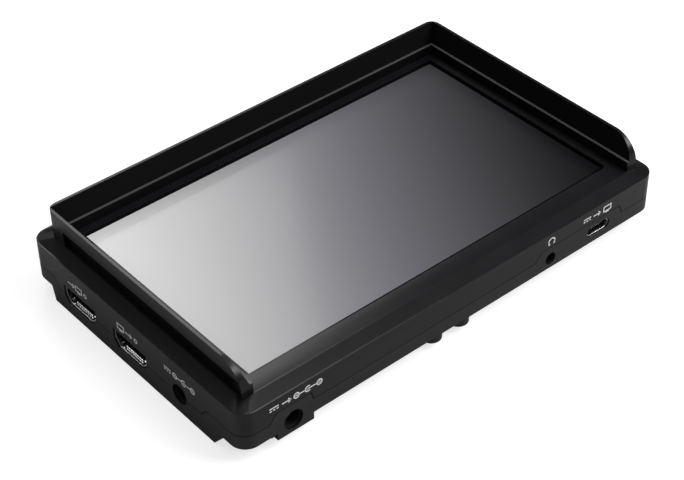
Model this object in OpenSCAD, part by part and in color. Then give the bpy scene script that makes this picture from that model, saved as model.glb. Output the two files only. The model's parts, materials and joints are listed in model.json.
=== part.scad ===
// Camera field monitor with a clip-on sun hood, lying on its back.
// +Z is the way the screen faces, the ports' side is -X and the chin side is -Y.

/* [Body] */
// Body left and right of the cover glass
side_margin = 11.3; // [10.8:0.1:13]
// Body above and below the cover glass
end_margin = 11; // [10.6:0.1:13]
// Radius of the body's upright corners
corner_r = 5; // [4:0.5:7]
// Thickness of the moulded walls
wall = 1.8; // [1.6:0.1:2.2]
// Depth of the raised back above the thin rim
rear_step = 5; // [4.8:0.1:6]
// Height of the rim from the thin back to the parting line
rim_h = 4.8; // [4.6:0.1:5.4]
// Rise of the shoulder round the picture face
shoulder_up = 1.2; // [0.8:0.1:1.6]
// How far the shoulder runs inward
shoulder_in = 4.4; // [3.6:0.1:5]
// Width of the small step below the shoulder
shoulder_step = 0.4; // [0.2:0.1:0.6]
// Open seam between the two shells
seam = 0.2; // [0.15:0.05:0.3]

/* [Screen] */
// Width of the cover glass
glass_w = 133.4; // [130:0.2:134]
// Height of the cover glass
glass_d = 75.3; // [73:0.1:77]
// Thickness of the cover glass
glass_t = 1.1; // [0.9:0.1:1.3]
// How far the glass lies below the bezel
glass_drop = 0.7; // [0.4:0.1:1]
// Gap round the glass
glass_gap = 0.5; // [0.3:0.05:0.6]
// How far the panel reaches beyond the glass at its sides
panel_side = 2.5; // [2.2:0.1:2.8]
// How far the panel reaches beyond the glass at chin and top
panel_end = 2.15; // [2:0.05:2.4]
// Thickness of the liquid crystal cell
cell_t = 1.1; // [0.9:0.1:1.2]
// Thickness of the backlight unit
backlight_t = 2.2; // [1.9:0.1:2.3]
// Thickness of the foam gasket under the bezel
gasket_t = 0.3; // [0.2:0.05:0.4]
// Thickness of the steel panel bracket
bracket_t = 0.6; // [0.5:0.1:0.7]

/* [Sun hood] */
// Height of the hood's rim above the bezel
hood_h = 9.6; // [8:0.2:14]
// Thickness of the hood's rim
hood_rim = 0.9; // [0.8:0.1:1.4]
// Height of the inner ledge above the bezel
hood_ledge_h = 3.2; // [2.4:0.1:4]
// How far the inner ledge stands in from the outer face
hood_ledge_in = 3.8; // [3.4:0.1:3.8]
// Height of the finger groove on the hood's two sides
hood_groove_h = 5.1; // [3:0.1:5.4]
// Depth of the finger groove
hood_groove_in = 1.3; // [0.8:0.1:1.5]
// Radius of the rounded front end of each side wall
hood_end_r = 8.8; // [6:0.2:9]
// Radius of the hood's two upright corners
hood_corner_r = 3; // [2:0.2:4]
// Width of a locating tab
tab_w = 8; // [6:0.5:10]
// Thickness of a locating tab
tab_t = 0.8; // [0.7:0.1:0.9]
// Length of a locating tab
tab_l = 1.2; // [1:0.1:1.3]
/* [Ports] */
// Height of the deep ports' centre line above the thin back
port_up = 1.85; // [1.8:0.05:2]
// Distance between the two video sockets
video_pitch = 24.1; // [22:0.1:26]
// Distance of the first video socket from the key side
video_in = 23.65; // [22:0.05:25]
// Width of a video socket's metal shell
video_w = 15; // [14.5:0.1:15.4]
// Height of a video socket's metal shell
video_h = 5.6; // [5.4:0.1:5.6]
// Distance of the power inlet from the chin side
inlet_in = 26.85; // [25:0.05:28]
// Distance of the power outlet from the port side
outlet_in = 16.9; // [16:0.1:18]
// Radius of the two power jacks' round openings
power_r = 3.15; // [3:0.05:3.3]
// Radius of the two power jacks' inner bores
power_bore_r = 2.75; // [2.6:0.05:2.8]
// Distance of the headphone jack from the right side
phones_in = 44.1; // [42:0.1:46]
// Height of the headphone jack's centre above the thin back
phones_up = 3.4; // [3.2:0.05:3.6]
// Radius of the headphone jack's bore
phones_r = 1.8; // [1.75:0.01:1.85]
// Distance of the small reversible socket from the right side
usb_in = 24.2; // [23:0.1:26]
// Height of the small socket's centre above the thin back
usb_up = 4.1; // [4:0.05:4.3]
// Width of the small socket's shell
usb_w = 8.94; // [8.8:0.02:9.2]
// Height of the small socket's shell
usb_h = 3.26; // [3.1:0.02:3.4]
// Play of a socket in its wall opening
port_play = 0.2; // [0.15:0.01:0.25]

/* [Buttons] */
// Number of long keys
key_count = 4; // [3:1:4]
// Distance between the keys
key_pitch = 14; // [13:0.5:15]
// Length of a long key
key_w = 9; // [7:0.5:10]
// Height of a long key
key_h = 3.4; // [3:0.1:3.8]
// Radius of the round power key
power_key_r = 2.6; // [2:0.1:2.8]
// Travel of every key
key_travel = 0.4; // [0.3:0.05:0.5]
// Running play round a key
key_play = 0.15; // [0.1:0.01:0.2]

/* [Battery mount] */
// Place of the battery plate across the back
plate_x = 10; // [6:0.5:14]
// Width of the battery plate
plate_w = 40.6; // [40:0.1:41]
// Distance of the raised back's foot from the chin side
plateau_front = 12.35; // [12:0.05:14]
// Distance of the raised back's far edge from the key side
plateau_back = 10.15; // [9:0.05:11]
// How far the raised back reaches beyond the plate on its right
plateau_right = 11.7; // [10:0.1:14]
// Thickness of the battery plate
plate_t = 1.6; // [1.4:0.1:1.8]
// How far the plate's pocket is sunk below the thin back
pocket_sunk = 0.4; // [0.3:0.05:0.6]
// Length of one of the four hooks
hook_l = 8; // [6:0.5:10]
// How far a hook reaches over the battery
hook_in = 1.3; // [1:0.1:1.5]
// Thickness of a hook's lip
hook_t = 1; // [0.8:0.1:1.2]
// How far the lock stands out of the plate
lock_out = 1.8; // [1.4:0.1:2]
// Width of the lock's head
lock_w = 11.4; // [10:0.2:12]
// Length of the lock's head
lock_l = 5.4; // [5:0.2:6]

/* [Fixings] */
// Bore of the quarter-inch tripod insert
tripod_r = 2.6; // [2.55:0.05:2.7]
// Outer radius of the tripod insert
tripod_out = 4; // [3.8:0.1:4.1]
// Length of the tripod insert
tripod_l = 7; // [6:0.5:7]
// Distance between the two accessory bosses
boss_pitch = 10.3; // [9:0.1:12]
// Place of the pair of bosses along the chin side
boss_x = -4.15; // [-6:0.05:-2]
// Outer radius of an accessory boss
boss_r = 3.2; // [3:0.1:3.4]
// How far the bosses stand out of the thin back
boss_h = 2.8; // [2:0.1:3.4]
// Bore of the small threaded inserts
insert_r = 1.25; // [1.2:0.01:1.3]
// Outer radius of the small threaded inserts
insert_out = 2.1; // [2:0.05:2.2]
// Distance of the case screws from the body's two sides
case_screw_in = 5.4; // [5.4:0.1:6]

/* [Electronics] */
// Thickness of the circuit boards
board_t = 1.6; // [1.2:0.1:1.6]
// Gap between a board's edge and the case wall
board_gap = 0.6; // [0.4:0.05:0.8]
// Room between the board and the panel bracket
board_room = 1.85; // [1.7:0.05:2.4]
// Height of the tallest component on the board
chip_h = 1.1; // [0.9:0.1:1.3]
// Number of cooling slots in the thin back
vent_count = 7; // [5:1:8]

/* [Hidden] */
$fn = 48;
tiny = 0.01;

body_w = glass_w + 2 * side_margin;
body_d = glass_d + 2 * end_margin;
half_w = body_w / 2;
half_d = body_d / 2;
in_w = half_w - wall;
in_d = half_d - wall;
bezel_hw = half_w - shoulder_in;
bezel_hd = half_d - shoulder_in;
rim_z = rear_step;
part_z = rim_z + rim_h;

// places of the ports
port_z = rim_z + port_up;
video_y = half_d - video_in;
video_ys = [video_y, video_y - video_pitch];
inlet_y = -half_d + inlet_in;
outlet_x = -half_w + outlet_in;
phones_x = half_w - phones_in;
phones_z = rim_z + phones_up;
usb_x = half_w - usb_in;
usb_z = rim_z + usb_up;

// heights of the board and of the screen's layers above it
board_z = port_z + video_h / 2;
board_top = board_z + board_t;
bracket_z = board_top + board_room;
backlight_z = bracket_z + bracket_t;
cell_z = backlight_z + backlight_t;
glass_z = cell_z + cell_t;
bezel_under = glass_z + gasket_t;
bezel_z = glass_z + glass_t + glass_drop;
band_z = bezel_z - shoulder_up;
roof_up = 0.4;
case_top = cell_z + roof_up;

// panel and bracket
panel_w = glass_w + 2 * panel_side;
panel_d = glass_d + 2 * panel_end;
bracket_ear_x = (panel_w / 2 + in_w) / 2;
bracket_ear_r = (in_w - panel_w / 2) / 2 - 0.6;
bracket_post_r = bracket_ear_r - 0.3;
bracket_ear_y = half_d * 0.37;
bracket_rim = 13;
bracket_end_rim = 11;
thread_play = 0.03;

flex_w = 22;
flex_t = 0.3;
flex_up = 0.6;
flex_from_outlet = 41.1;
flex_x = outlet_x + flex_from_outlet;

// boards
board_left = -in_w + board_gap;
board_right = usb_x + 8.2;
board_front = -in_d + board_gap;
key_side_room = 16.85;
board_back = in_d - key_side_room;
notch_play = 0.2;
board_mid = (board_left + board_right) / 2;
video_depth = 11;
power_depth = 11;
power_w = 8.6;
power_h = 6.7;
phones_w = 6;
phones_h = 5;
phones_depth = 12;
usb_depth = 7.4;
mouth_in = 0.4;
outlet_z = port_z;

// raised back
plateau_y0 = -half_d + plateau_front;
plateau_y1 = half_d - plateau_back;
plateau_x1 = plate_x + plate_w / 2 + plateau_right;
ramp = 4.2;
steep = 1.2;
outlet_block_x = [outlet_x - 5.4, outlet_x + 6.8];
outlet_block_z = outlet_z - power_r - 1.1;
outlet_block_l = wall + power_depth + 1.2;
outlet_fin_t = 0.8;
outlet_fin_l = 4.4;
jack_play = 0.15;

// parting line's steps round the ports: points along the side and the height there
tongue_z = part_z + 2.7;
outlet_tongue = [[outlet_x - 7.8, part_z], [outlet_x - 5.3, tongue_z], [outlet_x + 5.9, tongue_z],
    [outlet_x + 6.7, part_z]];
phones_tongue = [[phones_x - 6, part_z], [phones_x - 3.8, tongue_z], [usb_x + 8.6, tongue_z],
    [usb_x + 9.7, part_z]];
tripod_z = part_z + 1.5;
tripod_half = tripod_out + 2.4;
tripod_tongue = [[-tripod_half - 1, part_z], [-tripod_half, tripod_z + tripod_out + 0.9],
    [tripod_half, tripod_z + tripod_out + 0.9], [tripod_half + 1, part_z]];
apron_beyond = [9.4, 10.2];
apron_slants = [2.4, 2];
apron_y0 = inlet_y - apron_beyond[0];
apron_y1 = video_y + apron_beyond[1];
apron = [[apron_y0 - apron_slants[0], part_z], [apron_y0, port_z], [apron_y1, port_z],
    [apron_y1 + apron_slants[1], part_z]];

// case screws
screw_r = 0.95;
screw_head_r = 1.9;
screw_head_h = 1.2;
screw_x = half_w - case_screw_in;
screw_y = half_d - case_screw_in;
screw_boss_r = 2.9;
case_screw_l = 8;
case_bore_l = 6.5;
small_screw_r = 0.75;
small_head_r = 1.6;
small_head_h = 0.9;
bracket_screw_l = 2.6;
insert_l = 5;
standoff_r = 2.5;
board_screw_l = 4;
// board screws, set in from the board's edges and from the outlet
board_screw_at = [[-half_w + 28, board_back - 9], [outlet_x + 19.1, board_front + 8.25],
    [board_right - 12, board_front + 24.25], [board_right - 12, board_back - 8]];

// sun hood
hood_hw = bezel_hw + 0.2;
hood_hd = bezel_hd + 0.2;
hood_z = bezel_z;
hood_top = hood_z + hood_h;
hood_ledge_flat = 0.9;
tab_in = (hood_groove_in + hood_ledge_in) / 2;
tab_play = 0.2;
tab_side_ys = [-24, 24];
tab_back_xs = [-42, 0, 42];

// keys
keys_z = part_z + (band_z - part_z) / 2 - 0.35;
key_xs = [for (i = [0 : key_count - 1]) (i - (key_count - 1) / 2) * key_pitch - key_pitch / 2];
power_key_x = key_xs[key_count - 1] + key_pitch + 2;
key_out = 0.2;
key_flange = 0.8;
key_flange_t = 0.8;
key_back = in_d - key_flange_t - 0.05;
key_board_t = 1;
switch_h = 1;
switch_w = 4.4;
switch_d = 4;
plunger_r = 0.9;
switch_play = 0.05;
plunger_tip = key_back - key_travel - switch_play;
switch_face = plunger_tip - 0.5;
key_board_y = switch_face - switch_h - key_board_t;
key_board_x0 = key_xs[0] - key_pitch / 2 - 1;
key_board_x1 = power_key_x + key_pitch / 2;
key_board_z0 = keys_z - 3;
key_board_h = 5.4;
rib_t = 1.2;

// battery mount
pocket_play = 0.2;
pocket_w = plate_w + 2 * pocket_play;
pocket_h = rim_z + pocket_sunk;
pocket_y0 = plateau_y0 + 3.6;
plate_l = plateau_y1 - pocket_y0 - 1.2;
plate_y0 = pocket_y0 + pocket_play;
plate_y1 = plate_y0 + plate_l;
plate_z = pocket_h - plate_t;
hook_z = plate_z - 1.9 - hook_t;
hook_ys = [plate_y0 + 0.17 * plate_l, plate_y1 - 0.31 * plate_l];
post_t = 1.8;
terminal_l = 7;
terminal_w = 24;
blade_w = 0.8;
blade_play = 0.1;
terminal_h = plate_z - 0.7;
blade_pitch = 6.4;
lock_y = plate_y1 - 7;
lock_play = 0.2;
lock_flange = 1.2;
lock_flange_t = 0.8;
well_top = board_z - 0.15;
well_wall = 0.6;
well_play = 0.4;
spring_r = 2;
spring_wire = 0.4;
spring_turns = 3.5;
plate_screw_l = 1.6;
plate_head_h = 0.85;
plate_floor = 1.4;
plate_screw_at = [for (x = [-1, 1], y = [0.37, 0.52])
    [plate_x + x * (plate_w / 2 - 11), plate_y0 + y * plate_l]];

// vents
vent_w = 1.6;
vent_l = 26;
vent_pitch = 3.4;
vent_x0 = plateau_x1 + 6;
vent_y = -8;

shell_grey = "#2b2b2d";
hood_grey = "#242426";
steel = "#b9bcc0";
board_green = "#1f5a3a";
brass_tone = "#b8944a";

module plan(w, d, r) {
    square([w - 2 * r, d], center = true);
    square([w, d - 2 * r], center = true);
    for (x = [-1, 1], y = [-1, 1])
        translate([x * (w / 2 - r), y * (d / 2 - r)]) circle(r);
}

module slab(w, d, r, z0, z1) {
    translate([0, 0, z0]) linear_extrude(z1 - z0) plan(w, d, r);
}

module block(p, q) {
    translate(p) cube(q - p);
}

// an outline in X and Z, drawn out along Y from y0 to y1
module along_y(y0, y1) {
    translate([0, y1, 0]) rotate([90, 0, 0]) linear_extrude(y1 - y0) children();
}

// an outline in Y and Z, drawn out along X from x0 to x1
module along_x(x0, x1) {
    translate([x0, 0, 0]) rotate([90, 0, 90]) linear_extrude(x1 - x0) children();
}

module rod(r, h) {
    cylinder(r = r, h = h);
}

// body outlines

module front_outside() {
    slab(body_w, body_d, corner_r, part_z, band_z);
    hull() {
        slab(body_w - 2 * shoulder_step, body_d - 2 * shoulder_step, corner_r - shoulder_step,
            band_z - 0.1, band_z);
        slab(2 * bezel_hw, 2 * bezel_hd, corner_r, bezel_z - tiny, bezel_z);
    }
}

module plateau(skin) {
    intersection() {
        along_x(-half_w + skin, plateau_x1 + ramp)
            polygon([[plateau_y0 + skin, skin], [plateau_y1 - skin, skin],
                [plateau_y1 + steep - skin, rim_z + skin], [plateau_y0 - ramp + skin, rim_z + skin]]);
        along_y(-half_d, half_d)
            polygon([[-half_w + skin, skin], [plateau_x1 - skin, skin],
                [plateau_x1 + ramp - skin, rim_z + skin], [-half_w + skin, rim_z + skin]]);
    }
}

// openings through the walls

module video_outline(play) {
    w = video_w / 2 + play;
    h = video_h / 2 + play;
    cut_up = 2.1;
    cut_in = 2;
    polygon([[-w, h], [w, h], [w, -h + cut_up], [w - cut_in, -h], [-w + cut_in, -h], [-w, -h + cut_up]]);
}

module side_openings() {
    for (y = video_ys)
        translate([0, y, port_z]) along_x(-half_w - 1, -in_w + 1) video_outline(port_play);
    translate([-half_w - 1, inlet_y, port_z]) rotate([0, 90, 0]) rod(power_r, wall + 2);
}

module usb_outline(play) {
    r = usb_h / 2 + play;
    square([usb_w - usb_h, 2 * r], center = true);
    for (x = [-1, 1]) translate([x * (usb_w - usb_h) / 2, 0]) circle(r);
}

module chin_openings() {
    translate([outlet_x, -in_d + 1, outlet_z]) rotate([90, 0, 0]) rod(power_r, wall + 2);
    translate([phones_x, -in_d + 1, phones_z]) rotate([90, 0, 0]) rod(phones_r + port_play, wall + 2);
    translate([usb_x, 0, usb_z]) along_y(-half_d - 1, -in_d + 1) usb_outline(port_play);
}

// the stepped stretches of the parting line, each as high as its outline with play added

module tongue_outline(line, play) {
    foot = part_z - seam - tiny;
    polygon([[line[0][0] - play, foot], [line[0][0] - play, line[0][1] + play],
        [line[1][0] - play, line[1][1] + play], [line[2][0] + play, line[2][1] + play],
        [line[3][0] + play, line[3][1] + play], [line[3][0] + play, foot]]);
}

module chin_tongues(play) {
    for (line = [outlet_tongue, phones_tongue])
        along_y(-half_d, -in_d) tongue_outline(line, play);
}

module tripod_tongue_shape(play) {
    along_x(in_w, half_w) tongue_outline(tripod_tongue, play);
}

module apron_shape(play) {
    along_x(-half_w, -in_w)
        polygon([[apron[0][0] - play, part_z + tiny], [apron[1][0] - play, apron[1][1] - play],
            [apron[2][0] + play, apron[2][1] - play], [apron[3][0] + play, part_z + tiny]]);
}

// rim and raised back, hollowed, before anything is added inside
module rear_case() {
    difference() {
        union() {
            slab(body_w, body_d, corner_r, rim_z, part_z - seam);
            plateau(0);
            outlet_block();
        }
        slab(2 * in_w, 2 * in_d, corner_r - wall, rim_z + wall, part_z + 1);
        plateau(wall);
    }
}

// square housing of the power outlet, with a thin fin beside it
module outlet_block() {
    fin_x = outlet_block_x[0] - 2 * outlet_fin_t;
    fin_y = -half_d + 0.6;
    block([outlet_block_x[0], -half_d, outlet_block_z],
        [outlet_block_x[1], -half_d + outlet_block_l, rim_z + 1]);
    block([fin_x, fin_y, rim_z - 1.1], [fin_x + outlet_fin_t, fin_y + outlet_fin_l, rim_z + 1]);
}

// room for the three jacks that stand against the wall
module jack_reliefs() {
    power_half = power_w / 2 + jack_play;
    phones_half = phones_w / 2 + jack_play;
    reach = power_depth + jack_play;
    block([-in_w, inlet_y - power_half, port_z - power_h / 2 - jack_play],
        [-in_w + reach, inlet_y + power_half, part_z + 1]);
    block([outlet_x - power_half, -in_d, outlet_z - power_h / 2 - jack_play],
        [outlet_x + power_half, -in_d + reach, part_z + 1]);
    block([phones_x - phones_half, -in_d, phones_z - phones_h / 2 - jack_play],
        [phones_x + phones_half, -in_d + phones_depth + jack_play, part_z + 1]);
}

module rear_shell() {
    color(shell_grey) difference() {
        union() {
            rear_case();
            chin_tongues(0);
            tripod_tongue_shape(0);
            battery_pocket_walls();
            rear_lip();
            rear_posts();
        }
        jack_reliefs();
        apron_shape(seam);
        side_openings();
        chin_openings();
        battery_pocket();
        rear_bores();
        vents();
    }
}

// a thin lip inside the seam keeps the shells in line
module rear_lip() {
    lip_t = 1;
    lip_play = 0.1;
    lip_w = 2 * (in_w - lip_play);
    lip_d = 2 * (in_d - lip_play);
    lip_r = corner_r - wall - lip_play;
    foot = rim_z + wall - 0.5;
    low = part_z - seam - 0.6;
    difference() {
        slab(lip_w, lip_d, lip_r, foot, part_z + 1);
        slab(2 * (in_w - lip_t), 2 * (in_d - lip_t), corner_r - wall - lip_t, rim_z, part_z + 2);
        block([-half_w, -half_d, rim_z], [-in_w + 3, screw_y, part_z + 3]);
        block([-half_w, -half_d, low], [half_w, -in_d + 3, part_z + 3]);
        block([key_board_x0 - 3, in_d - 4, low], [key_board_x1 + 3, half_d, part_z + 3]);
    }
    difference() {
        slab(body_w - 1, body_d - 1, corner_r, foot, part_z - seam);
        slab(lip_w - tiny, lip_d - tiny, lip_r, rim_z, part_z);
    }
}

module rear_posts() {
    for (x = [-1, 1], y = [-1, 1])
        translate([x * screw_x, y * screw_y, rim_z + 1]) rod(screw_boss_r, part_z - seam - rim_z - 1);
    for (p = board_screw_at) {
        foot = wall / 2 + (p[0] < plateau_x1 && p[1] > plateau_y0 ? 0 : rim_z);
        translate([p[0], p[1], foot]) rod(standoff_r, board_z - foot);
    }
    for (s = [-0.5, 0.5])
        translate([boss_x + s * boss_pitch, boss_y(), rim_z - boss_h])
            rod(boss_r, board_z - 0.3 - rim_z + boss_h);
    block([half_w - tripod_l - 1.2, -tripod_half, rim_z + 0.5],
        [in_w + tiny, tripod_half, tripod_z + tripod_out + 0.9]);
}

function boss_y() = -half_d + boss_r + 0.4;

module rear_bores() {
    for (x = [-1, 1], y = [-1, 1])
        translate([x * screw_x, y * screw_y, rim_z]) {
            translate([0, 0, -1]) rod(screw_head_r + 0.2, screw_head_h + 1.2);
            rod(screw_r + 0.15, rim_h + 2);
        }
    for (p = board_screw_at)
        translate([p[0], p[1], board_z - board_screw_l]) rod(small_screw_r, board_screw_l + 1);
    for (p = plate_screw_at)
        translate([p[0], p[1], pocket_h - 1]) rod(small_screw_r + thread_play, plate_floor + 0.8);
    for (s = [-0.5, 0.5])
        translate([boss_x + s * boss_pitch, boss_y(), rim_z - boss_h - 1])
            rod(insert_out + 0.05, insert_l + 1);
    translate([half_w - tripod_l, 0, tripod_z]) rotate([0, 90, 0]) rod(tripod_out + 0.05, tripod_l + 1);
}

// upright box round the lock's flange, grown by its play and more
module lock_well(more, z0, z1) {
    half_x = lock_w / 2 + lock_flange + well_play + more;
    half_y = lock_l / 2 + lock_flange + well_play + more;
    block([plate_x - half_x, lock_y - half_y, z0], [plate_x + half_x, lock_y + half_y, z1]);
}

module battery_pocket_walls() {
    block([plate_x - pocket_w / 2 - plate_floor, pocket_y0 - plate_floor, wall / 2],
        [plate_x + pocket_w / 2 + plate_floor, plateau_y1 + steep - 0.3, pocket_h + plate_floor]);
    lock_well(well_wall, pocket_h, well_top);
}

module battery_pocket() {
    left = plate_x - pocket_w / 2;
    right = plate_x + pocket_w / 2;
    block([left, pocket_y0, -1], [right, plate_y1 + pocket_play, pocket_h]);
    block([left, plate_y1, -1], [right, plateau_y1 + steep + 1, plate_z]);
    lock_well(0, pocket_h - 1, well_top - well_wall);
}

module vents() {
    for (i = [0 : vent_count - 1])
        translate([vent_x0 + i * vent_pitch, vent_y, rim_z - 1]) linear_extrude(wall + 2) {
            square([vent_w, vent_l - vent_w], center = true);
            for (s = [-1, 1]) translate([0, s * (vent_l - vent_w) / 2]) circle(vent_w / 2);
        }
}

// posts for the case screws and the bracket, and the two ribs that hold the key board
module front_posts() {
    for (x = [-1, 1], y = [-1, 1]) {
        translate([x * screw_x, y * screw_y, part_z]) rod(screw_boss_r, case_top + tiny - part_z);
        translate([x * bracket_ear_x, y * bracket_ear_y, backlight_z])
            rod(bracket_post_r, case_top + tiny - backlight_z);
    }
    for (x = [key_board_x0 - rib_t, key_board_x1 - rib_t])
        block([x, key_board_y - rib_t, key_board_z0 - rib_t], [x + 2 * rib_t, in_d + tiny, case_top + tiny]);
}

module key_board_slot() {
    play = 0.1;
    block([key_board_x0 - play, key_board_y - play, key_board_z0 - 2],
        [key_board_x1 + play, switch_face - switch_h + play, key_board_z0 + key_board_h + play]);
}

module front_shell() {
    window_w = glass_w + 2 * glass_gap;
    window_d = glass_d + 2 * glass_gap;
    color(shell_grey) difference() {
        union() {
            difference() {
                front_outside();
                slab(2 * in_w, 2 * in_d, corner_r - wall, part_z - 1, case_top);
                slab(2 * bezel_hw - 0.4, 2 * bezel_hd - 0.4, corner_r - wall, part_z, bezel_under);
            }
            apron_shape(0);
            front_posts();
        }
        slab(window_w, window_d, 1.2, glass_z - 1, bezel_z + 1);
        chin_tongues(seam);
        tripod_tongue_shape(seam);
        side_openings();
        chin_openings();
        key_openings();
        key_board_slot();
        tabs(tab_play, bezel_under - 1, bezel_z + 1);
        for (x = [-1, 1], y = [-1, 1]) {
            translate([x * screw_x, y * screw_y, part_z - 1]) rod(screw_r + thread_play, case_bore_l);
            translate([x * bracket_ear_x, y * bracket_ear_y, backlight_z - 1])
                rod(small_screw_r + thread_play, bracket_screw_l + 0.9);
        }
    }
}

// a side tab and a back tab of the hood, or with play the slots that take them
module tabs(play, z0, z1) {
    mid = (z0 + z1) / 2;
    t = tab_t + 2 * play;
    w = tab_w + 2 * play;
    for (s = [-1, 1], y = tab_side_ys)
        translate([s * (hood_hw - tab_in), y, mid]) cube([t, w, z1 - z0], center = true);
    for (x = tab_back_xs)
        translate([x, hood_hd - tab_in, mid]) cube([w, t, z1 - z0], center = true);
}

module key_outline(play) {
    r = key_h / 2 + play;
    square([key_w - key_h, 2 * r], center = true);
    for (x = [-1, 1]) translate([x * (key_w - key_h) / 2, 0]) circle(r);
}

module key_openings() {
    for (x = key_xs) translate([x, 0, keys_z]) along_y(in_d - 1, half_d + 1) key_outline(key_play);
    translate([power_key_x, in_d - 1, keys_z]) rotate([-90, 0, 0]) rod(power_key_r + key_play, wall + 2);
}

// profile of the hood's wall: first number is the distance in from the outer face, second the height
function wall_profile(groove) = [[hood_ledge_in, 0], [hood_ledge_in, hood_ledge_h],
    [hood_ledge_in - hood_ledge_flat, hood_ledge_h], [hood_rim, hood_h], [0, hood_h],
    [0, groove > 0 ? hood_groove_h : 0], [groove, groove > 0 ? hood_groove_h - 0.3 : 0], [groove, 0]];

module wall_outline(groove) {
    polygon([for (p = wall_profile(groove)) [-p[0], p[1]]]);
}

module hood_side() {
    along = hood_hd - hood_corner_r + tiny;
    translate([hood_hw, along, hood_z]) rotate([90, 0, 0]) linear_extrude(2 * hood_hd)
        wall_outline(hood_groove_in);
}

module hood_back() {
    along = hood_hw - hood_corner_r + tiny;
    translate([-along, hood_hd, hood_z]) rotate([90, 0, 90]) linear_extrude(2 * along) wall_outline(0);
}

module sun_hood() {
    color(hood_grey) {
        difference() {
            union() {
                for (s = [0, 1]) mirror([s, 0, 0]) {
                    hood_side();
                    translate([hood_hw - hood_corner_r, hood_hd - hood_corner_r, hood_z]) hood_corner();
                }
                hood_back();
            }
            hood_front_cut();
        }
        tabs(0, hood_z - tab_l, hood_z + 0.5);
    }
}

// outer skin turned round the corner, with the inner faces meeting square below the rim
module hood_corner() {
    r = hood_corner_r;
    reach = hood_ledge_in + 1;
    difference() {
        linear_extrude(hood_h) {
            circle(r);
            translate([-reach, -reach]) square([reach, reach + r]);
            translate([-reach, -reach]) square([reach + r, reach]);
        }
        corner_hollow(-reach - 1);
    }
}

module corner_hollow(from) {
    foot = hood_corner_r - hood_ledge_in;
    low = foot + hood_ledge_flat;
    top = hood_corner_r - hood_rim;
    block([from, from, -1], [foot, foot, hood_h + 1]);
    hull() {
        block([from, from, hood_ledge_h], [low, low, hood_ledge_h + tiny]);
        block([from, from, hood_h], [top, top, hood_h + tiny]);
    }
}

// rounds off the open front end of the two side walls
module hood_front_cut() {
    y0 = -bezel_hd + 0.2;
    r = hood_end_r;
    beyond = 10;
    along_x(-half_w, half_w) difference() {
        translate([y0 - beyond, hood_z - 2]) square([beyond + r, hood_h + 4]);
        translate([y0 + r, hood_top - r]) circle(r);
        translate([y0, hood_z - 3]) square([r + 1, hood_h - r + 3]);
    }
}

module screen_glass() {
    color("#5a5a60") slab(glass_w, glass_d, 0.8, glass_z, glass_z + glass_t);
}

module ring(w, d, r, inner_w, inner_d, z0, z1) {
    difference() {
        slab(w, d, r, z0, z1);
        slab(inner_w, inner_d, 0.6, z0 - 1, z1 + 1);
    }
}

module panel_gasket() {
    margin = 2 * glass_gap + 0.4;
    color("#151515") ring(panel_w, panel_d, 0.8, glass_w + margin, glass_d + margin, glass_z, bezel_under);
}

module lcd_cell() {
    color("#1b1e26") slab(panel_w - 0.4, panel_d - 0.4, 0.6, cell_z, glass_z);
}

module backlight_unit() {
    color("#d8d8d2") slab(panel_w, panel_d, 0.6, backlight_z, cell_z);
}

module panel_bracket() {
    color(steel) difference() {
        union() {
            ring(panel_w, panel_d, 0.6, panel_w - 2 * bracket_rim, panel_d - 2 * bracket_end_rim,
                bracket_z, backlight_z);
            for (x = [-1, 1], y = [-1, 1])
                translate([x * bracket_ear_x, y * bracket_ear_y, bracket_z]) rod(bracket_ear_r, bracket_t);
            for (y = [-1, 1])
                block([-bracket_ear_x, y * bracket_ear_y - bracket_ear_r, bracket_z],
                    [bracket_ear_x, y * bracket_ear_y + bracket_ear_r, backlight_z]);
        }
        for (x = [-1, 1], y = [-1, 1])
            translate([x * bracket_ear_x, y * bracket_ear_y, bracket_z - 1])
                rod(small_screw_r + 0.1, bracket_t + 2);
    }
}

// flat cable from the panel's chin edge, bent round and back onto the board
module panel_flex() {
    t = flex_t;
    top = cell_z + 0.5;
    low = board_top + flex_up;
    mid = (top + low) / 2;
    r = (top - low) / 2;
    y0 = -panel_d / 2 + 0.2;
    bend_y = y0 - 1;
    color("#a86a1c") along_x(flex_x, flex_x + flex_w) {
        difference() {
            translate([bend_y, mid]) circle(r + t / 2);
            translate([bend_y, mid]) circle(r - t / 2);
            translate([bend_y, mid - 5]) square([10, 10]);
        }
        translate([bend_y - tiny, top - t / 2]) square([y0 - bend_y + tiny, t]);
        translate([bend_y - tiny, low - t / 2]) square([6, t]);
    }
}

module board_notch(x0, y0, x1, y1) {
    block([x0, y0, board_z - 1], [x1 + notch_play, y1 + notch_play, board_top + 1]);
}

module board_notches() {
    chin_ports = [[outlet_x, power_w, power_depth], [phones_x, phones_w, phones_depth],
        [usb_x, usb_w, usb_depth]];
    for (port = chin_ports)
        board_notch(port[0] - port[1] / 2 - notch_play, -half_d, port[0] + port[1] / 2, -in_d + port[2]);
    board_notch(-half_w, inlet_y - power_w / 2 - notch_play, -in_w + power_depth, inlet_y + power_w / 2);
    board_notch(-half_w, -half_d, -screw_x + screw_boss_r + 0.3, -screw_y + screw_boss_r + 0.3);
    for (p = board_screw_at) translate([p[0], p[1], board_z - 1]) rod(small_screw_r + 0.2, board_t + 2);
}

module main_board() {
    color(board_green) difference() {
        block([board_left, board_front, board_z], [board_right, board_back, board_top]);
        board_notches();
    }
}

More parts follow.
